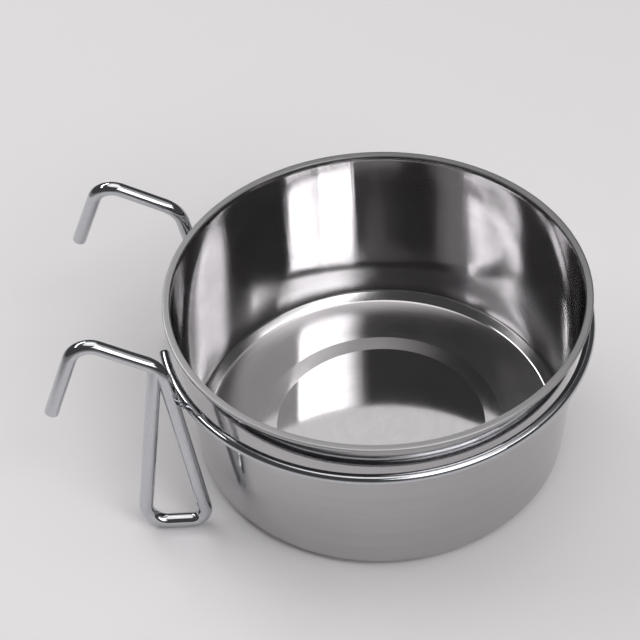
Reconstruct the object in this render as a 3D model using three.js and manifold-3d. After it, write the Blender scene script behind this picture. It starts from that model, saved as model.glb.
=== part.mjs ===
// A hanging feeding cup for a cage: a deep-drawn stainless steel cup with a rolled rim, standing in
// a bright plated wire hanger. The hanger is an open ring round the cup and two bent hook wires
// welded to the outside of the ring. Each hook wire ends in a narrow loop that stands on the table.
// Lengths are millimetres, angles are degrees, +Z is up, and the hooks point to -X.
import * as THREE from "three";
import { mergeVertices } from "three/addons/utils/BufferGeometryUtils.js";
import Module from "manifold-3d";

// Cup
const RIM_DIAMETER = 120;
const CUP_HEIGHT = 55.5;
const BASE_DIAMETER = 107; // the wall carried down to the table
const SHEET_THICKNESS = 0.6;
const BEAD_DIAMETER = 2.5; // the rim's outward curl
const BEAD_SEAM = 0.35; // left open between the end of the curl and the wall
const CORNER_RADIUS = 2.4; // outside, between the wall and the bottom
const PANEL_DIAMETER = 62; // the flat disc pressed down in the bottom, on which the cup stands
const PANEL_SLOPE_WIDTH = 4.7;
const PANEL_DEPTH = 0.65;
const DISH_DIAMETER = 80; // outside this the bottom rises towards the corner
const DISH_RISE = 0.35;

// Ring
const RING_WIRE = 3;
const RIM_TO_RING = 7; // free height under the bead while the cup stands on the table
const RING_PLAY = 1.45; // mean radial clearance round the wall
const RING_REST_CLEARANCE = 0.75; // what is left of it on the side away from the hooks
const RING_MOUTH = 25.5; // between the ring's cut ends, on the hook side

// Hook wires
const HOOK_WIRE = 4;
const HOOK_SPACING = 66.5; // between the two wires where they pass the ring
const HOOK_TOE_OUT = 3;
const HOOK_LEAN = 5.8; // the loops' feet stand wider apart than their tops
const APEX_ABOVE_RING = 13.4;
const APEX_OFFSET = -0.9; // outwards from the middle of the foot
const FOOT_WIDTH = 18;
const FOOT_BEND_RADIUS = 4;
const APEX_BEND_RADIUS = 8;
const ARM_LENGTH = 24.5;
const ARM_RISE = 27;
const HOOK_BEND_RADIUS = 5;
const TIP_LENGTH = 26.5;
const TIP_SPLAY = 21; // from the vertical, outwards
const FRONT_LOOP_END = 2; // where the loop's end is welded: out along the arm from the apex
const REAR_LOOP_DROP = 16; // the rear loop closes lower: down the leg from the apex

// Welds
const WELD_DIAMETER = 5.8;
const WELD_DROP = 0.8; // the metal sags below the middle of the crossing
const WELD_CLEARANCE = 0.3; // between each piece and the next

// Facets
const CUP_SIDES = 64;
const WIRE_SIDES = 12;
const RING_STEPS = 64;
const STEPS_PER_TURN = 24;
const WELD_SIDES = 24;

// Sizes worked out from those above
const beadRadius = BEAD_DIAMETER / 2;
const beadZ = CUP_HEIGHT - beadRadius;
const beadCircle = RIM_DIAMETER / 2 - beadRadius;
const wallTop = RIM_DIAMETER / 2 - BEAD_DIAMETER + SHEET_THICKNESS;
const wallSlope = (wallTop - BASE_DIAMETER / 2) / beadZ;
const wallRadius = (z) => BASE_DIAMETER / 2 + wallSlope * z;
const ringRadius = RING_WIRE / 2;
const ringZ = beadZ - beadRadius - RIM_TO_RING - ringRadius;
const ringCircle = wallRadius(ringZ) + RING_PLAY + ringRadius;
const ringX = RING_REST_CLEARANCE - RING_PLAY;
const hookRadius = HOOK_WIRE / 2;
const radians = THREE.MathUtils.degToRad;

const wasm = await Module();
wasm.setup();

// A solid for cutting and joining, from a closed geometry.
function toSolid(geometry) {
  const bare = geometry.clone();
  bare.deleteAttribute("normal");
  bare.deleteAttribute("uv");
  const merged = mergeVertices(bare, 1e-4);
  return new wasm.Manifold(
    new wasm.Mesh({
      numProp: 3,
      vertProperties: merged.attributes.position.array,
      triVerts: new Uint32Array(merged.index.array),
    }),
  );
}

function toGeometry(solid) {
  const mesh = solid.getMesh();
  const geometry = new THREE.BufferGeometry();
  geometry.setAttribute("position", new THREE.BufferAttribute(mesh.vertProperties, 3));
  geometry.setIndex(new THREE.BufferAttribute(mesh.triVerts, 1));
  geometry.computeVertexNormals();
  return geometry;
}

// Points on a circle in a profile or a wire's plane, from one angle to another.
function arcPoints(x, y, radius, from, to) {
  const count = Math.max(2, Math.ceil((Math.abs(to - from) / 360) * STEPS_PER_TURN));
  return Array.from({ length: count + 1 }, (_, i) => {
    const angle = radians(from + ((to - from) * i) / count);
    return new THREE.Vector2(x + radius * Math.cos(angle), y + radius * Math.sin(angle));
  });
}

// A wire's centre line: a list of stations, each a point with the wire's direction there.
class WirePath extends THREE.Curve {
  constructor(stations) {
    super();
    this.stations = stations;
  }

  getPoint(t, target = new THREE.Vector3()) {
    const last = this.stations.length - 1;
    const i = Math.min(Math.floor(t * last), last - 1);
    return target.lerpVectors(this.stations[i].point, this.stations[i + 1].point, t * last - i);
  }

  getTangent(t, target = new THREE.Vector3()) {
    const i = Math.round(t * (this.stations.length - 1));
    return target.copy(this.stations[i].direction);
  }

  // Stations are few on a straight run and close in a bend, so they aren't spaced by length.
  getUtoTmapping(u) {
    return u;
  }
}

// The stations of a wire bent in the XZ plane: straight runs between corners, each corner an arc.
function bentWire(corners) {
  const stations = [];
  const put = (at, along) =>
    stations.push({
      point: new THREE.Vector3(at.x, 0, at.y),
      direction: new THREE.Vector3(along.x, 0, along.y),
    });
  corners.forEach(({ at, radius }, i) => {
    const before = i > 0 ? at.clone().sub(corners[i - 1].at).normalize() : null;
    const after = i < corners.length - 1 ? corners[i + 1].at.clone().sub(at).normalize() : null;
    if (!before || !after) {
      put(at, before ?? after);
      return;
    }
    const turn = Math.atan2(before.cross(after), before.dot(after));
    const setBack = radius * Math.tan(Math.abs(turn) / 2);
    const start = at.clone().addScaledVector(before, -setBack);
    const side = Math.sign(turn);
    const centre = start.clone().add(new THREE.Vector2(-before.y, before.x).multiplyScalar(side * radius));
    const count = Math.max(2, Math.ceil((Math.abs(turn) / (2 * Math.PI)) * STEPS_PER_TURN));
    for (let k = 0; k <= count; k += 1) {
      const angle = (turn * k) / count;
      const along = before.clone().rotateAround(new THREE.Vector2(), angle);
      put(start.clone().rotateAround(centre, angle), along);
    }
  });
  return new WirePath(stations);
}

// A round wire along a path.
function wireGeometry(path, radius) {
  const round = new THREE.Shape();
  for (let i = 0; i < WIRE_SIDES; i += 1) {
    const angle = (2 * Math.PI * i) / WIRE_SIDES;
    const move = i === 0 ? "moveTo" : "lineTo";
    round[move](radius * Math.cos(angle), radius * Math.sin(angle));
  }
  round.closePath();
  return new THREE.ExtrudeGeometry(round, {
    steps: path.stations.length - 1,
    extrudePath: path,
  });
}

// The cup is one sheet: pressed-down panel, dished bottom, corner, tapered wall and the rim's curl.
function cupGeometry() {
  const innerCorner = CORNER_RADIUS - SHEET_THICKNESS;
  const wallTilt = THREE.MathUtils.radToDeg(Math.atan(wallSlope));
  const tiltCosine = Math.cos(radians(wallTilt));
  const cornerZ = PANEL_DEPTH + DISH_RISE + CORNER_RADIUS;
  const cornerX = wallRadius(cornerZ) - CORNER_RADIUS / tiltCosine;
  const panelEdge = PANEL_DIAMETER / 2;
  const slopeEdge = panelEdge + PANEL_SLOPE_WIDTH;
  const dishEdge = DISH_DIAMETER / 2;
  const curlInside = beadRadius - SHEET_THICKNESS;
  const seamX = wallRadius(beadZ - beadRadius) + BEAD_SEAM - beadCircle;
  const curlEnd = -THREE.MathUtils.radToDeg(Math.acos(seamX / beadRadius));
  const point = (x, z) => new THREE.Vector2(x, z);
  const profile = [
    point(0, 0),
    point(panelEdge, 0),
    point(slopeEdge, PANEL_DEPTH),
    point(dishEdge, PANEL_DEPTH),
    ...arcPoints(cornerX, cornerZ, CORNER_RADIUS, -90, -wallTilt),
    ...arcPoints(beadCircle, beadZ, curlInside, 180, curlEnd),
    ...arcPoints(beadCircle, beadZ, beadRadius, curlEnd, 180),
    ...arcPoints(cornerX, cornerZ, innerCorner, -wallTilt, -90),
    point(dishEdge, PANEL_DEPTH + SHEET_THICKNESS),
    point(slopeEdge, PANEL_DEPTH + SHEET_THICKNESS),
    point(panelEdge, SHEET_THICKNESS),
    point(0, SHEET_THICKNESS),
  ];
  return new THREE.LatheGeometry(profile, CUP_SIDES).rotateX(Math.PI / 2);
}

// The ring runs round the cup from one cut end to the other and is open towards the hooks.
function ringPath() {
  const mouth = Math.asin(RING_MOUTH / 2 / ringCircle);
  const start = Math.PI + mouth;
  const sweep = 2 * Math.PI - 2 * mouth;
  const stations = Array.from({ length: RING_STEPS + 1 }, (_, i) => {
    const angle = start + (sweep * i) / RING_STEPS;
    const x = Math.cos(angle);
    const y = Math.sin(angle);
    return {
      point: new THREE.Vector3(ringX + ringCircle * x, ringCircle * y, ringZ),
      direction: new THREE.Vector3(-y, x, 0),
    };
  });
  return new WirePath(stations);
}

// A hook wire in its own plane: X runs outwards from the middle of the foot, Z up from it.
const apex = new THREE.Vector2(
  APEX_OFFSET,
  (ringZ + APEX_ABOVE_RING - hookRadius) / Math.cos(radians(HOOK_LEAN)),
);
const footInner = new THREE.Vector2(-FOOT_WIDTH / 2, 0);
const footOuter = new THREE.Vector2(FOOT_WIDTH / 2, 0);
const armDirection = new THREE.Vector2(Math.cos(radians(ARM_RISE)), Math.sin(radians(ARM_RISE)));
const armEnd = apex.clone().addScaledVector(armDirection, ARM_LENGTH);
const tipEnd = armEnd
  .clone()
  .add(
    new THREE.Vector2(Math.sin(radians(TIP_SPLAY)), -Math.cos(radians(TIP_SPLAY))).multiplyScalar(TIP_LENGTH),
  );

// Where each loop's end is welded: the front one under its own arm, the rear one to its own leg.
const legDirection = footInner.clone().sub(apex).normalize();
const frontLoopEnd = apex.clone().addScaledVector(armDirection, FRONT_LOOP_END);
const rearLoopEnd = apex.clone().addScaledVector(legDirection, REAR_LOOP_DROP);

// The wire starts at the tip, bends over as the hook, runs down past the ring, round the foot and
// up again to the weld that closes the loop.
function hookSolid(side, radius) {
  const loopEnd = side < 0 ? frontLoopEnd : rearLoopEnd;
  const shank = bentWire([
    { at: tipEnd },
    { at: armEnd, radius: HOOK_BEND_RADIUS },
    { at: apex, radius: APEX_BEND_RADIUS },
    { at: footInner, radius: FOOT_BEND_RADIUS },
    { at: footInner.clone().lerp(footOuter, 0.5) },
  ]);
  const loop = bentWire([
    { at: footInner.clone().lerp(footOuter, 0.5) },
    { at: footOuter, radius: FOOT_BEND_RADIUS },
    { at: loopEnd },
  ]);
  return toSolid(wireGeometry(shank, radius)).add(toSolid(wireGeometry(loop, radius)));
}

// Where a hook wire's inner leg passes the ring, in the hook's own plane and on the cup.
const legHeight = (ringZ - hookRadius) / Math.cos(radians(HOOK_LEAN));
const legPoint = footInner.clone().lerp(apex, legHeight / apex.y);
const legCircle = ringCircle + ringRadius + hookRadius + WELD_CLEARANCE;
const legX = ringX - Math.sqrt(legCircle ** 2 - (HOOK_SPACING / 2) ** 2);

function hookPlacement(side) {
  const place = new THREE.Object3D();
  place.rotation.set(radians(-side * HOOK_LEAN), 0, Math.PI - side * radians(HOOK_TOE_OUT), "ZYX");
  const leg = new THREE.Vector3(legPoint.x, 0, legPoint.y).applyEuler(place.rotation);
  place.position.set(legX, (side * HOOK_SPACING) / 2, ringZ).sub(leg);
  place.updateMatrix();
  return place;
}

// Each weld is the collar of metal left in the crook where a hook wire crosses the ring.
function weldGeometry(side, place) {
  const towardsRing = new THREE.Vector3(ringX - legX, (-side * HOOK_SPACING) / 2, 0).normalize();
  const centre = new THREE.Vector3(legX, (side * HOOK_SPACING) / 2, ringZ);
  centre.addScaledVector(towardsRing, hookRadius + WELD_CLEARANCE / 2);
  centre.z -= WELD_DROP;
  const ball = new THREE.SphereGeometry(WELD_DIAMETER / 2, WELD_SIDES, WELD_SIDES / 2);
  ball.translate(centre.x, centre.y, centre.z);
  const hook = toSolid(toGeometry(hookSolid(side, hookRadius + WELD_CLEARANCE)).applyMatrix4(place.matrix));
  const ring = toSolid(wireGeometry(ringPath(), ringRadius + WELD_CLEARANCE));
  return toGeometry(toSolid(ball).subtract(hook).subtract(ring));
}

const steel = { color: 0xb9b8ba, metalness: 1, roughness: 0.22 };
const plating = { color: 0xd6d9de, metalness: 1, roughness: 0.08 };

function addMesh(parent, name, geometry, finish) {
  const mesh = new THREE.Mesh(geometry, new THREE.MeshStandardMaterial(finish));
  mesh.name = name;
  parent.add(mesh);
  return mesh;
}

const bowl = new THREE.Group();
addMesh(bowl, "cup", cupGeometry(), steel);

const hanger = new THREE.Group();
bowl.add(hanger);
addMesh(hanger, "support_ring", wireGeometry(ringPath(), ringRadius), plating);
for (const [name, side] of [["front", -1], ["rear", 1]]) {
  const place = hookPlacement(side);
  const hook = addMesh(hanger, `hook_wire_${name}`, toGeometry(hookSolid(side, hookRadius)), plating);
  hook.applyMatrix4(place.matrix);
  addMesh(hanger, `ring_weld_${name}`, weldGeometry(side, place), plating);
}

// The origin is on the table, in the middle of the room that the whole object takes up.
const extent = new THREE.Box3().setFromObject(bowl, true);
const middle = extent.getCenter(new THREE.Vector3());
bowl.position.set(-middle.x, -middle.y, -extent.min.z);

export default bowl;
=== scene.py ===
import math

import bmesh
import bpy
import numpy as np
from mathutils import Euler, Matrix, Vector


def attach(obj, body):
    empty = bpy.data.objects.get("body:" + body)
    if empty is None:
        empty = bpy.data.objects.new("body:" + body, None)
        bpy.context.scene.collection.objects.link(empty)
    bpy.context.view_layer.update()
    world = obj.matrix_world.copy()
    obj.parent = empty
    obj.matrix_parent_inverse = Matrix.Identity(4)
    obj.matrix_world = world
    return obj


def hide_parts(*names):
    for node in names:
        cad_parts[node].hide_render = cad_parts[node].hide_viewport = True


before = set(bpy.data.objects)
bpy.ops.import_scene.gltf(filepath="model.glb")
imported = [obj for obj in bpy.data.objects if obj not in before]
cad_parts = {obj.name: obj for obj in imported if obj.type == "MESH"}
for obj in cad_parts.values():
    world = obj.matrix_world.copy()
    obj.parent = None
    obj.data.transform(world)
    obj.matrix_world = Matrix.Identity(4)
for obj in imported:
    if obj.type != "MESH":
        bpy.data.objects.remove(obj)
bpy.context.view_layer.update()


# Support ring
# One steel wire rolled round a former into an open ring, cut off square at both ends, then bright
# plated. The cup drops into it from above, and both hook wires are welded to its outside.
mm = 0.001
micron = 0.001 * mm
ring_wire_radius = 1.5 * mm
ring_circle = 60.224 * mm
ring_middle = Vector((14.040, 0.0, 44.5)) * mm
ring_mouth = 25.5 * mm
ring_bend_steps = 240
wire_sides = 32
cut_edge = 0.4 * mm
cut_edge_turns = (18, 36, 54, 72, 90)
cut_face_hoops = (0.5, 0.92, 1.0)
plating_light = (0.61, 0.62, 0.64, 1.0)
plating_dull = (0.49, 0.50, 0.53, 1.0)
plating_roughness = (0.05, 0.11)
plating_clouds = {"Scale": 900.0, "Detail": 4.0}
plating_ripple = {"Scale": 210.0, "Detail": 1.5}
ripple_depth = 30 * micron
die_bands = {"Scale": 260.0, "Detail": 2.0}
die_band_depth = 6 * micron
cloud_span = (0.3, 0.7)


def link_into_scene(name, data):
    piece = bpy.data.objects.new(name, data)
    bpy.context.scene.collection.objects.link(piece)
    return piece


def smooth_mesh(name, points, faces):
    """A smooth-shaded mesh whose faces all look outwards."""
    mesh = bpy.data.meshes.new(name)
    mesh.from_pydata([tuple(point) for point in points], [], faces)
    shape = bmesh.new()
    shape.from_mesh(mesh)
    bmesh.ops.recalc_face_normals(shape, faces=shape.faces)
    shape.to_mesh(mesh)
    shape.free()
    mesh.shade_smooth()
    return mesh


def hoop_faces(hoops, sides):
    """Faces of a closed tube: bands between hoops of points, and a fan on a last point per end."""
    faces = []
    for hoop in range(hoops - 1):
        here, there = hoop * sides, (hoop + 1) * sides
        for side in range(sides):
            after = (side + 1) % sides
            faces.append((here + side, here + after, there + after, there + side))
    last_hoop, first_tip, last_tip = (hoops - 1) * sides, hoops * sides, hoops * sides + 1
    for side in range(sides):
        after = (side + 1) % sides
        faces.append((side, after, first_tip))
        faces.append((last_hoop + side, last_hoop + after, last_tip))
    return faces


def cut_end(radius):
    """Steps from the middle of a square-cut end, over its rounded edge: (set-back, radius)."""
    flat = radius - cut_edge
    steps = [(0.0, share * flat) for share in cut_face_hoops]
    for turn in cut_edge_turns:
        angle = math.radians(turn)
        steps.append((cut_edge * (1 - math.cos(angle)), flat + cut_edge * math.sin(angle)))
    return steps


def wire_mesh(name, line, radius, plane_normal):
    """A round wire along a flat bent line of (point, direction) stations, with square-cut ends."""
    (first, first_way), (last, last_way) = line[0], line[-1]
    hoops = [(first + first_way * back, first_way, size) for back, size in cut_end(radius)]
    hoops += [(point, way, radius) for point, way in line[1:-1]]
    hoops += [(last - last_way * back, last_way, size) for back, size in reversed(cut_end(radius))]
    points, along, run = [], [], 0.0
    for number, (centre, way, size) in enumerate(hoops):
        run += (centre - hoops[number - 1][0]).length if number else 0.0
        out = plane_normal.cross(way).normalized()
        for side in range(wire_sides):
            angle = 2 * math.pi * side / wire_sides
            spoke = out * math.cos(angle) + plane_normal * math.sin(angle)
            points.append(centre + spoke * size)
        along.append(run)
    points += [first, last]
    mesh = smooth_mesh(name, points, hoop_faces(len(hoops), wire_sides))
    lengthways = mesh.attributes.new("lengthways", "FLOAT", "POINT")
    lengthways.data.foreach_set("value", np.repeat(along, wire_sides).tolist() + [0.0, run])
    return mesh


def add_node(tree, kind, inputs=None, **settings):
    """Adds a node with its settings, and with its inputs given as values or as links."""
    node = tree.nodes.new(kind)
    for key, value in settings.items():
        setattr(node, key, value)
    for key, value in (inputs or {}).items():
        socket = node.inputs[key]
        if isinstance(value, bpy.types.NodeSocket):
            tree.links.new(value, socket)
        else:
            socket.default_value = value
    return node


def new_finish(name, metal=1.0):
    """A bare finish, and the place on the piece that its noises are laid out in."""
    material = bpy.data.materials.new(name)
    material.use_nodes = True
    tree = material.node_tree
    shine = tree.nodes["Principled BSDF"]
    shine.inputs["Metallic"].default_value = metal
    return material, tree, shine, add_node(tree, "ShaderNodeTexCoord").outputs["Object"]


def noise(tree, place, grain):
    return add_node(tree, "ShaderNodeTexNoise", {"Vector": place, **grain}).outputs["Fac"]


def tint(tree, shine, share, first, second):
    """Colours a finish between two tints."""
    mixed = add_node(
        tree, "ShaderNodeMix", {"Factor": share, "A": first, "B": second}, data_type="RGBA"
    )
    tree.links.new(mixed.outputs["Result"], shine.inputs["Base Color"])


def roughen(tree, shine, share, span, roughness):
    """Spreads the roughness of a finish over the span of a noise."""
    spread = add_node(
        tree,
        "ShaderNodeMapRange",
        {
            "Value": share,
            "From Min": span[0],
            "From Max": span[1],
            "To Min": roughness[0],
            "To Max": roughness[1],
        },
    )
    tree.links.new(spread.outputs["Result"], shine.inputs["Roughness"])


def dent(tree, shine, height, depth):
    """Dents a finish to a depth, on top of what already dents it."""
    bump = add_node(tree, "ShaderNodeBump", {"Height": height, "Strength": 1.0, "Distance": depth})
    for link in shine.inputs["Normal"].links:
        tree.links.new(link.from_socket, bump.inputs["Normal"])
    tree.links.new(bump.outputs["Normal"], shine.inputs["Normal"])


def plated_wire_finish():
    """Bright nickel-chrome over drawn wire: a mirror with faint die lines and a slow ripple."""
    material, tree, shine, place = new_finish("bright_plated_wire")
    clouds = noise(tree, place, plating_clouds)
    tint(tree, shine, clouds, plating_dull, plating_light)
    roughen(tree, shine, clouds, cloud_span, plating_roughness)
    dent(tree, shine, noise(tree, place, plating_ripple), ripple_depth)
    run = add_node(tree, "ShaderNodeAttribute", attribute_name="lengthways").outputs["Fac"]
    bands = add_node(tree, "ShaderNodeTexNoise", {"W": run, **die_bands}, noise_dimensions="1D")
    dent(tree, shine, bands.outputs["Fac"], die_band_depth)
    return material


half_mouth = math.asin(ring_mouth / 2 / ring_circle)
ring_line = []
for step in range(ring_bend_steps + 1):
    turn = math.pi + half_mouth + (2 * math.pi - 2 * half_mouth) * step / ring_bend_steps
    spoke = Vector((math.cos(turn), math.sin(turn), 0.0))
    ring_line.append((ring_middle + spoke * ring_circle, Vector((-spoke.y, spoke.x, 0.0))))
plated_wire = plated_wire_finish()
ring_mesh = wire_mesh("ring_wire", ring_line, ring_wire_radius, Vector((0.0, 0.0, 1.0)))
ring_mesh.materials.append(plated_wire)
ring = link_into_scene("ring_wire", ring_mesh)
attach(ring, "holder")
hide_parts("support_ring")


# Hook wires
# Two thicker plated wires, each bent cold in one plane: from the hook's tip over the arm, down past
# the ring to a narrow foot and up again, where the end is welded to the wire itself. The front loop
# is closed under its arm, the rear one lower, against its leg.
hook_radius = 2.0 * mm
hook_spacing = 66.5 * mm
leg_gap = 0.3 * mm
lean = math.radians(5.8)
toe_out = math.radians(3.0)
foot_half = 9.0 * mm
top_offset = -0.9 * mm
top_over_ring = 13.4 * mm
arm_rise = math.radians(27.0)
arm_length = 24.5 * mm
tip_slant = math.radians(21.0)
tip_length = 26.5 * mm
front_end_along_arm = 2.0 * mm
rear_end_down_leg = 16.0 * mm
hook_bend = 6.0 * mm
top_bend = 9.0 * mm
foot_bend = 4.0 * mm
toe_bend = 6.0 * mm
degrees_per_bend_step = 4.0
fewest_bend_steps = 3

foot_inner = Vector((-foot_half, 0.0))
foot_outer = Vector((foot_half, 0.0))
hook_top = Vector((top_offset, (ring_middle.z + top_over_ring - hook_radius) / math.cos(lean)))
arm_way = Vector((math.cos(arm_rise), math.sin(arm_rise)))
tip_way = Vector((math.sin(tip_slant), -math.cos(tip_slant)))
leg_way = (foot_inner - hook_top).normalized()
arm_end = hook_top + arm_way * arm_length
tip_end = arm_end + tip_way * tip_length
loop_ends = {
    "front": hook_top + arm_way * front_end_along_arm,
    "rear": hook_top + leg_way * rear_end_down_leg,
}


def bent_line(corners):
    """Stations of a wire bent in its own plane: straight runs with an arc at each corner."""
    line = []
    for number, (corner, bend) in enumerate(corners):
        before = corner - corners[number - 1][0] if number else None
        after = corners[number + 1][0] - corner if number + 1 < len(corners) else None
        if before is None or after is None:
            line.append((corner, (after or before).normalized()))
            continue
        before.normalize()
        after.normalize()
        turn = math.atan2(before.x * after.y - before.y * after.x, before.dot(after))
        start = corner - before * bend * math.tan(abs(turn) / 2)
        side = Vector((-before.y, before.x)) * math.copysign(bend, turn)
        wanted = round(abs(math.degrees(turn)) / degrees_per_bend_step, 3)
        steps = max(fewest_bend_steps, math.ceil(wanted))
        for step in range(steps + 1):
            rotation = Matrix.Rotation(turn * step / steps, 2)
            line.append((start + side - rotation @ side, rotation @ before))
    return line


def hook_place(side):
    """Stands a hook on its foot, leaning and toed out, with its leg beside the ring."""
    turned = Euler((-side * lean, 0.0, math.pi - side * toe_out), "XYZ").to_matrix()
    share = (ring_middle.z - hook_radius) / math.cos(lean) / hook_top.y
    leg = foot_inner.lerp(hook_top, share)
    leg_circle = ring_circle + ring_wire_radius + hook_radius + leg_gap
    leg_x = ring_middle.x - math.sqrt(leg_circle**2 - (hook_spacing / 2) ** 2)
    crossing = Vector((leg_x, side * hook_spacing / 2, ring_middle.z))
    spot = crossing - turned @ Vector((leg.x, 0.0, leg.y))
    return Matrix.LocRotScale(spot, turned, None), crossing


hook_lines, crossings = {}, {}
for end, side in (("front", -1), ("rear", 1)):
    place, crossings[end] = hook_place(side)
    flat_line = bent_line(
        [
            (tip_end, None),
            (arm_end, hook_bend),
            (hook_top, top_bend),
            (foot_inner, foot_bend),
            (foot_outer, toe_bend),
            (loop_ends[end], None),
        ]
    )
    turned = place.to_3x3()
    hook_lines[end] = [
        (place @ Vector((at.x, 0.0, at.y)), turned @ Vector((way.x, 0.0, way.y)))
        for at, way in flat_line
    ]
    plane_normal = turned @ Vector((0.0, 1.0, 0.0))
    hook_mesh = wire_mesh("hook_" + end, hook_lines[end], hook_radius, plane_normal)
    hook_mesh.materials.append(plated_wire)
    hook = link_into_scene("hook_" + end, hook_mesh)
    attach(hook, "holder")
    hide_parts("hook_wire_" + end)


# Ring welds
# The metal left where each hook wire was spot welded to the ring: it has run into the crook
# between the two wires, sagged a little, and been plated over with the rest of the hanger.
weld_size = 1.3 * mm
weld_reach = 3.2 * mm
weld_sag = 0.8 * mm
weld_fillet = 1.8 * mm
weld_crown_fillet = 0.9 * mm
weld_taper = 0.06 * mm
weld_wire_run = 25.0 * mm
weld_steps = 60
weld_ball_cuts = 5
weld_light = (0.6, 0.61, 0.63, 1.0)
weld_dull = (0.46, 0.47, 0.49, 1.0)
weld_roughness = (0.18, 0.32)
weld_lumps = {"Scale": 520.0, "Detail": 3.0}
weld_lump_depth = 50 * micron


def gap_to_wire(points, line, radius):
    """How far points lie outside a wire."""
    ends = np.array([station for station, _ in line])
    starts, runs = ends[:-1], np.diff(ends, axis=0)
    offsets = points[:, None, :] - starts[None]
    share = np.clip((offsets * runs).sum(2) / (runs**2).sum(1), 0, 1)
    return np.linalg.norm(offsets - share[..., None] * runs, axis=2).min(1) - radius


def flow_together(gap, other, fillet):
    """The gap to two shapes that run into each other with a fillet."""
    overlap = np.maximum(fillet - np.abs(gap - other), 0) / fillet
    return np.minimum(gap, other) - overlap**2 * fillet / 4


def weld_mesh(name, middle, line, other_line, other_radius):
    """Pushes a ball of points out from the middle of a weld until each reaches its surface."""
    ball = bmesh.new()
    bmesh.ops.create_icosphere(ball, subdivisions=weld_ball_cuts, radius=1.0)
    ways = np.array([corner.co for corner in ball.verts])
    ways /= np.linalg.norm(ways, axis=1)[:, None]
    near = [station for station in line if (station[0] - middle).length < weld_wire_run]
    far = [station for station in other_line if (station[0] - middle).length < weld_wire_run]
    reach = np.full(len(ways), weld_reach)
    found = np.zeros(len(ways), bool)
    gap_before = np.full(len(ways), -weld_size)
    for step in range(1, weld_steps + 1):
        run = weld_reach * step / weld_steps
        points = np.array(middle) + ways * run
        gap = flow_together(
            gap_to_wire(points, near, hook_radius),
            gap_to_wire(points, far, other_radius),
            weld_fillet,
        )
        gap = flow_together(gap, run - weld_size, weld_crown_fillet)
        gap += weld_taper * max(0.0, run / weld_size - 1.0)
        passed = (gap > 0) & ~found
        share = gap_before / (gap_before - gap)
        reach[passed] = (run - weld_reach / weld_steps * (1 - share))[passed]
        found |= passed
        gap_before = gap
    for corner, way, size in zip(ball.verts, ways, reach):
        corner.co = middle + Vector(way) * float(size)
    mesh = bpy.data.meshes.new(name)
    ball.to_mesh(mesh)
    ball.free()
    mesh.shade_smooth()
    return mesh


def weld_finish():
    """The same plating over cast metal: duller, cloudier and lumpier than the drawn wire."""
    material, tree, shine, place = new_finish("plated_weld")
    lumps = noise(tree, place, weld_lumps)
    tint(tree, shine, lumps, weld_dull, weld_light)
    roughen(tree, shine, lumps, cloud_span, weld_roughness)
    dent(tree, shine, lumps, weld_lump_depth)
    return material


plated_weld = weld_finish()
for end in ("front", "rear"):
    towards_ring = (ring_middle - crossings[end]).normalized()
    middle = crossings[end] + towards_ring * (hook_radius + leg_gap / 2)
    middle.z -= weld_sag
    nugget_mesh = weld_mesh(
        "weld_" + end, middle, hook_lines[end], ring_line, ring_wire_radius
    )
    nugget_mesh.materials.append(plated_weld)
    nugget = link_into_scene("weld_" + end, nugget_mesh)
    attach(nugget, "holder")
    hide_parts("ring_weld_" + end)


# Cup
# One disc of stainless sheet, deep drawn to a tapered wall, with a flat foot pressed down in the
# bottom. Its lip flares a little, and its edge is rolled outwards and pressed flat. Polished while
# it spun round its axis, with a satin rim.
axis_x = 14.740 * mm
bead_circle = 58.75 * mm
bead_z = 54.25 * mm
bead_radius = 1.25 * mm
base_radius = 53.5 * mm
sheet = 0.6 * mm
corner_radius = 2.4 * mm
panel_edge = 31.0 * mm
slope_edge = 35.7 * mm
panel_depth = 0.5 * mm
dish_edge = 38.0 * mm
dish_rise = 0.5 * mm
inside_rise = 0.8 * mm
press_radius = 1.6 * mm
inside_facet = 2.3 * mm
inside_bend = 1.4 * mm
facet_run_out = 2.0 * mm
facet_run_drop = 0.35 * mm
rim_squareness = 6.0
rim_half = 0.6 * mm
rim_sheet = 0.35 * mm
roll_root = 180.0
roll_end = -90.0
roll_crown = 100.0
lip_drop = 4.5 * mm
lip_run = 0.6 * mm
lip_bend = 30.0 * mm
lip_flare = 11.0

cup_turns = 240
arc_step = 5.0
roll_inside_step = 10.0
lip_bend_step = 1.0
lip_steps = 12
wall_steps = 16
panel_steps = 6
under_dish_steps = 12
under_dish_power = 2
inside_dish_steps = 20
inside_dish_power = 3
satin_lip_rows = 5

steel_light = (0.62, 0.61, 0.615, 1.0)
steel_dull = (0.54, 0.53, 0.54, 1.0)
# Painted shade: the outside gets a darker copy of the steel's colours, which dims it where it
# mirrors the floor near the bowl.
outside_light_painted_shade = (0.53, 0.52, 0.525, 1.0)
outside_dull_painted_shade = (0.45, 0.44, 0.45, 1.0)
# Painted shade: the rim gets a still darker copy of the steel's colours, which dims its satin band.
rim_light_painted_shade = (0.44, 0.435, 0.44, 1.0)
rim_dull_painted_shade = (0.38, 0.375, 0.38, 1.0)
steel_span = (0.35, 0.65)
steel_clouds = {"Scale": 95.0, "Detail": 4.0}
cloud_share = 0.5
across_the_lines = 0.25

wall_slope = (bead_circle - bead_radius + sheet - base_radius) / bead_z
wall_tilt = math.degrees(math.atan(wall_slope))
wall_cosine = math.cos(math.atan(wall_slope))
rim_z = bead_z + bead_radius - rim_half
corner_z = panel_depth + dish_rise + corner_radius
corner_x = base_radius + wall_slope * corner_z - corner_radius / wall_cosine


def arc(x, z, radius, start, stop, step=arc_step):
    """Points on an arc, from one angle in degrees to another."""
    count = max(2, math.ceil(abs(stop - start) / step))
    turns = [math.radians(start + (stop - start) * number / count) for number in range(count + 1)]
    return [(x + radius * math.cos(turn), z + radius * math.sin(turn)) for turn in turns]


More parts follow.
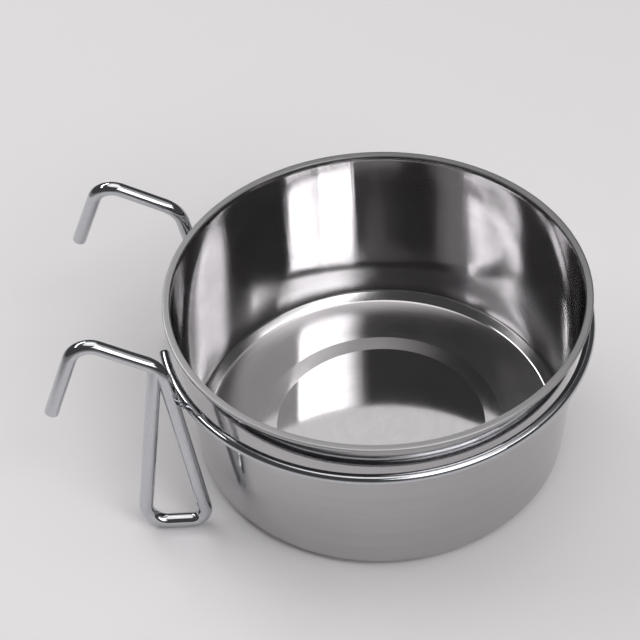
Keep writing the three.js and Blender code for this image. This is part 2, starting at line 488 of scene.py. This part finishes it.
def curl(inset, start, stop, step):
    """The rim's roll: pressed flat and a little square."""
    turned = arc(0.0, 0.0, 1.0, start, stop, step)
    power = 2.0 / rim_squareness
    return [
        (
            bead_circle + math.copysign(abs(x) ** power, x) * (bead_radius - inset),
            rim_z + math.copysign(abs(z) ** power, z) * (rim_half - inset),
        )
        for x, z in turned
    ]


def eased(before, knee, after, radius):
    """A pressed knee in the sheet, rounded by an arc."""
    points = bent_line(
        [(Vector(before), None), (Vector(knee), radius), (Vector(after), None)]
    )
    return [tuple(point) for point, _ in points[1:-1]]


def straight(start, stop, count):
    """Points between two ends, without the ends."""
    return [
        tuple(Vector(start).lerp(Vector(stop), number / count)) for number in range(1, count)
    ]


def dished(start, stop, count, power):
    """The bottom's rise to the corner: level where it starts, steepest where it ends."""
    run, rise = stop[0] - start[0], stop[1] - start[1]
    return [
        (start[0] + run * number / count, start[1] + rise * (number / count) ** power)
        for number in range(count)
    ]


# The profile goes from the middle of the underside outwards, up the wall, round the roll, over the
# lip and down inside to the middle of the bottom.
under_panel = (panel_edge, 0.0)
under_slope = (slope_edge, panel_depth)
under_dish = (dish_edge, panel_depth)
dish_slope = math.degrees(math.atan(2 * dish_rise / (corner_x - dish_edge)))
outside_corner = arc(corner_x, corner_z, corner_radius, dish_slope - 90.0, -wall_tilt)
flare_z = rim_z - rim_half - lip_bend * math.sin(math.radians(lip_flare))
flare_x = base_radius + wall_slope * flare_z + lip_bend / wall_cosine
lip_outside = arc(
    flare_x, flare_z, lip_bend, 180.0 - wall_tilt, 180.0 - lip_flare, lip_bend_step
)
curl_inside = curl(rim_sheet, roll_root, roll_end, roll_inside_step)
curl_outside = curl(0.0, roll_end, roll_crown, arc_step)
lip_stop = math.atan2(lip_run, lip_drop * wall_slope)
lip_turns = [lip_stop * number / lip_steps for number in range(lip_steps + 1)]
lip_inside = [
    (
        bead_circle - bead_radius + lip_run - lip_run * math.sin(turn),
        rim_z + rim_half - lip_drop + lip_drop * math.cos(turn),
    )
    for turn in lip_turns
]
outside = (
    straight((0.0, 0.0), under_panel, panel_steps)
    + eased((0.0, 0.0), under_panel, under_slope, press_radius)
    + eased(under_panel, under_slope, under_dish, press_radius)
    + dished(under_dish, outside_corner[0], under_dish_steps, under_dish_power)
    + outside_corner
    + straight(outside_corner[-1], lip_outside[0], wall_steps)
    + lip_outside
    + curl_inside
    + curl_outside
    + lip_inside
)

inside_top = lip_inside[-1]
inside_panel = (panel_edge, sheet)
inside_slope = (slope_edge, panel_depth + sheet)
inside_dish = (dish_edge, panel_depth + sheet)
floor_z = panel_depth + inside_rise + sheet
facet_z = floor_z + inside_facet
facet_high = (inside_top[0] - wall_slope * (inside_top[1] - facet_z), facet_z)
facet_low = (facet_high[0] - inside_facet, floor_z)
facet_out = (facet_low[0] - facet_run_out, floor_z - facet_run_drop)
inside_corner = eased(inside_top, facet_high, facet_low, inside_bend)
inside_corner += eased(facet_high, facet_low, facet_out, inside_bend)
inside_rise_points = dished(inside_dish, inside_corner[-1], inside_dish_steps, inside_dish_power)
inside = (
    straight(inside_top, inside_corner[0], wall_steps)
    + inside_corner
    + inside_rise_points[::-1]
    + eased(inside_dish, inside_slope, inside_panel, press_radius)
    + eased(inside_slope, inside_panel, (0.0, sheet), press_radius)
    + straight(inside_panel, (0.0, sheet), panel_steps)
)


def turned_mesh(name, profile, low_pole, high_pole):
    """Spins a profile round the axis and closes it at the two points on the axis."""
    points = []
    for radius, z in profile:
        for turn in range(cup_turns):
            angle = 2 * math.pi * turn / cup_turns
            points.append((radius * math.cos(angle), radius * math.sin(angle), z))
    points += [(0.0, 0.0, low_pole), (0.0, 0.0, high_pole)]
    return smooth_mesh(name, points, hoop_faces(len(profile), cup_turns))


def steel_finish(name, light, dull, roughness, line_depth, wave_depth, stretch):
    """Stainless sheet with polishing lines round the axis and slow upright waves from drawing."""
    material, tree, shine, place = new_finish(name)
    level = add_node(
        tree, "ShaderNodeVectorMath", {0: place, 1: (1.0, 1.0, 0.0)}, operation="MULTIPLY"
    ).outputs["Vector"]
    radius = add_node(
        tree, "ShaderNodeVectorMath", {0: level}, operation="LENGTH"
    ).outputs["Value"]
    spoke = add_node(
        tree, "ShaderNodeVectorMath", {0: level}, operation="NORMALIZE"
    ).outputs["Vector"]
    height = add_node(tree, "ShaderNodeSeparateXYZ", {0: place}).outputs["Z"]
    run = add_node(tree, "ShaderNodeMath", {0: radius, 1: height}, operation="ADD").outputs[0]

    def lines(along_sheet, round_axis, detail):
        """A noise with its own scale along the sheet, from base to rim, and round the axis."""
        spread = add_node(
            tree, "ShaderNodeVectorMath", {0: spoke, "Scale": round_axis}, operation="SCALE"
        ).outputs["Vector"]
        scaled = add_node(
            tree, "ShaderNodeMath", {0: run, 1: along_sheet}, operation="MULTIPLY"
        ).outputs[0]
        lifted = add_node(tree, "ShaderNodeCombineXYZ", {"Z": scaled}).outputs[0]
        where = add_node(
            tree, "ShaderNodeVectorMath", {0: spread, 1: lifted}, operation="ADD"
        ).outputs["Vector"]
        return noise(tree, where, {"Scale": 1.0, "Detail": detail})

    fine_lines = lines(along_sheet=5200.0, round_axis=3.0, detail=3.0)
    broad_lines = lines(along_sheet=420.0, round_axis=1.6, detail=2.0)
    tint(tree, shine, broad_lines, dull, light)
    clouds = noise(tree, place, steel_clouds)
    wiped = add_node(
        tree,
        "ShaderNodeMix",
        {"Factor": cloud_share, "A": fine_lines, "B": clouds},
        data_type="FLOAT",
    ).outputs["Result"]
    roughen(tree, shine, wiped, steel_span, roughness)
    if wave_depth:
        upright_waves = lines(along_sheet=14.0, round_axis=22.0, detail=2.5)
        dent(tree, shine, upright_waves, wave_depth)
    dent(tree, shine, fine_lines, line_depth)
    polished_round = add_node(tree, "ShaderNodeTangent", direction_type="RADIAL", axis="Z")
    tree.links.new(polished_round.outputs["Tangent"], shine.inputs["Tangent"])
    shine.inputs["Anisotropic"].default_value = stretch
    shine.inputs["Anisotropic Rotation"].default_value = across_the_lines
    return material


cup_mesh = turned_mesh("steel_cup", outside + inside, 0.0, sheet)
# The outside and the rim take the darker copies of the steel's colours: painted shade.
for name, light, dull, roughness, line_depth, wave_depth, stretch in (
    ("polished_outside", outside_light_painted_shade, outside_dull_painted_shade, (0.07, 0.12), 0.6 * micron, 24 * micron, 0.4),
    ("rolled_rim", rim_light_painted_shade, rim_dull_painted_shade, (0.34, 0.42), 0.6 * micron, 4 * micron, 0.0),
    ("drawn_wall", steel_light, steel_dull, (0.07, 0.11), 0.6 * micron, 15 * micron, 0.7),
    ("pressed_bottom", steel_light, steel_dull, (0.05, 0.09), 0.4 * micron, 0.0, 0.2),
    ("turned_edge", steel_light, steel_dull, (0.13, 0.18), 0.3 * micron, 0.0, 0.3),
):
    polished_steel = steel_finish(name, light, dull, roughness, line_depth, wave_depth, stretch)
    cup_mesh.materials.append(polished_steel)
lip_start = len(outside) - len(lip_inside)
rim_rows = range(lip_start - len(curl_outside), lip_start + satin_lip_rows)
wall_rows = range(lip_start, len(outside) + wall_steps)
for face in cup_mesh.polygons:
    row = face.index // cup_turns
    if row in rim_rows:
        finish = "rolled_rim"
    elif row in wall_rows:
        finish = "drawn_wall"
    elif row > wall_rows[-1] and face.normal.z > 0:
        finish = "turned_edge" if face.center.xy.length > slope_edge else "pressed_bottom"
    else:
        finish = "polished_outside"
    face.material_index = cup_mesh.materials.find(finish)
cup = link_into_scene("steel_cup", cup_mesh)
cup.location.x = axis_x
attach(cup, "cup")
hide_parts("cup")


# Floor
# A wide plain pale sheet under the bowl, matt, so that the bowl has a soft shadow and the steel has
# something light to mirror from below. Its colour turns grey far away: painted shade round a
# painted pool of light, which also gives the wires an edge.
floor_half = 8.0
floor_colour = (0.83, 0.815, 0.825, 1.0)
floor_painted_shade_colour = (0.32, 0.315, 0.32, 1.0)
floor_middle = (0.0, 0.09, 0.0)
floor_painted_shade_start = 0.21
floor_painted_shade_stop = 0.36
floor_roughness = 0.7
floor_gloss = 0.2
floor_mesh = bpy.data.meshes.new("floor")
floor_mesh.from_pydata(
    [(x * floor_half, y * floor_half, 0.0) for x, y in ((-1, -1), (1, -1), (1, 1), (-1, 1))],
    [],
    [(0, 1, 2, 3)],
)
floor = link_into_scene("floor", floor_mesh)
floor_paint, floor_tree, floor_shine, floor_place = new_finish("pale_floor", metal=0.0)
floor_run = add_node(
    floor_tree, "ShaderNodeVectorMath", {0: floor_place, 1: floor_middle}, operation="DISTANCE"
).outputs["Value"]
# Painted shade: the floor's colour turns from pale to grey with the distance from the bowl.
floor_painted_shade = add_node(
    floor_tree,
    "ShaderNodeMapRange",
    {"Value": floor_run, "From Min": floor_painted_shade_start, "From Max": floor_painted_shade_stop},
    interpolation_type="SMOOTHSTEP",
).outputs["Result"]
tint(floor_tree, floor_shine, floor_painted_shade, floor_colour, floor_painted_shade_colour)
floor_shine.inputs["Roughness"].default_value = floor_roughness
floor_shine.inputs["Specular IOR Level"].default_value = floor_gloss
floor_mesh.materials.append(floor_paint)


# Studio light
# Two softboxes and a long thin strip at the front right, and two thin strips at the back left,
# each fading at one end and one edge. The room is dim, with glows at the back, overhead and right.
softbox_distance = 1.2
bowl_middle = Vector((axis_x, 0.0, 30.0 * mm))
room_level = 0.075
room_colour = (1.0, 0.985, 0.99, 1.0)


def add_softbox(name, azimuth, elevation, across, upright, radiance, fade):
    """A lamp seen from the bowl in one direction, with its two spreads given as angles."""
    azimuth, elevation = math.radians(azimuth), math.radians(elevation)
    reach = softbox_distance * math.cos(elevation)
    width = 2 * reach * math.tan(math.radians(across / 2))
    height = 2 * softbox_distance * math.tan(math.radians(upright / 2))
    lamp = bpy.data.lights.new(name, "AREA")
    lamp.shape = "RECTANGLE"
    lamp.size, lamp.size_y = width, height
    lamp.energy = math.pi * width * height * radiance
    lamp.use_nodes = True
    tree = lamp.node_tree
    spot = add_node(tree, "ShaderNodeNewGeometry").outputs["Parametric"]
    sides = add_node(tree, "ShaderNodeSeparateXYZ", {0: spot})
    level = 1.0
    for side in ("X", "Y"):
        edge = add_node(
            tree,
            "ShaderNodeMapRange",
            {"Value": sides.outputs[side], "From Min": 0.0, "From Max": fade},
            interpolation_type="SMOOTHSTEP",
        ).outputs["Result"]
        level = add_node(
            tree, "ShaderNodeMath", {0: level, 1: edge}, operation="MULTIPLY"
        ).outputs[0]
    tree.links.new(level, tree.nodes["Emission"].inputs["Strength"])
    box = link_into_scene(name, lamp)
    away = Vector((reach * math.cos(azimuth), reach * math.sin(azimuth), 0.0))
    away.z = softbox_distance * math.sin(elevation)
    box.location = bowl_middle + away
    box.rotation_euler = away.to_track_quat("Z", "Y").to_euler()


for name, azimuth, elevation, across, upright, radiance, fade in (
    ("softbox_high", -54.0, 56.0, 48.0, 17.0, 4.0, 0.45),
    ("softbox_low", -57.0, 29.5, 56.0, 15.0, 3.4, 0.4),
    ("softbox_wing", -49.0, 45.0, 84.0, 6.0, 4.4, 0.22),
    ("softbox_back", 132.0, 43.5, 38.0, 6.0, 11.0, 0.1),
    ("softbox_hooks", 164.0, 43.5, 46.0, 6.0, 12.0, 0.5),
):
    add_softbox(name, azimuth, elevation, across, upright, radiance, fade)

world = bpy.data.worlds.new("dim_room")
bpy.context.scene.world = world
world.use_nodes = True
room = world.node_tree
way = add_node(room, "ShaderNodeTexCoord").outputs["Generated"]
glow = room_level
for towards, start, full, strength in (
    ((0.0, 0.438, 0.899), 0.92, 0.956, 0.85),
    ((0.05, 0.0, 0.999), 0.87, 0.965, 1.4),
    ((0.613, -0.054, 0.788), 0.9, 0.975, 0.55),
):
    nearness = add_node(
        room, "ShaderNodeVectorMath", {0: way, 1: towards}, operation="DOT_PRODUCT"
    ).outputs["Value"]
    lit = add_node(
        room,
        "ShaderNodeMapRange",
        {"Value": nearness, "From Min": start, "From Max": full, "To Max": strength},
        interpolation_type="SMOOTHSTEP",
    ).outputs["Result"]
    glow = add_node(room, "ShaderNodeMath", {0: glow, 1: lit}, operation="ADD").outputs[0]
room.links.new(glow, room.nodes["Background"].inputs["Strength"])
room.nodes["Background"].inputs["Color"].default_value = room_colour


# Camera
# Set where the photograph was taken from: above the front of the bowl, looking down at it with a
# long lens, without shift. The three turns are in radians.
camera_lens = 112.5
camera_sensor = 36.0
camera_at = Vector((24.52, -403.10, 439.82)) * mm
camera_heading = 0.06466
camera_dip = 0.7753
camera_roll = -0.0592
camera_data = bpy.data.cameras.new("camera")
camera_data.lens = camera_lens
camera_data.sensor_width = camera_sensor
camera = link_into_scene("camera", camera_data)
camera_turn = (
    Matrix.Rotation(camera_heading, 3, "Z")
    @ Matrix.Rotation(math.pi / 2 - camera_dip, 3, "X")
    @ Matrix.Rotation(camera_roll, 3, "Z")
)
camera.matrix_world = Matrix.LocRotScale(camera_at, camera_turn, None)
bpy.context.scene.camera = camera
bpy.context.scene.view_settings.view_transform = "Standard"
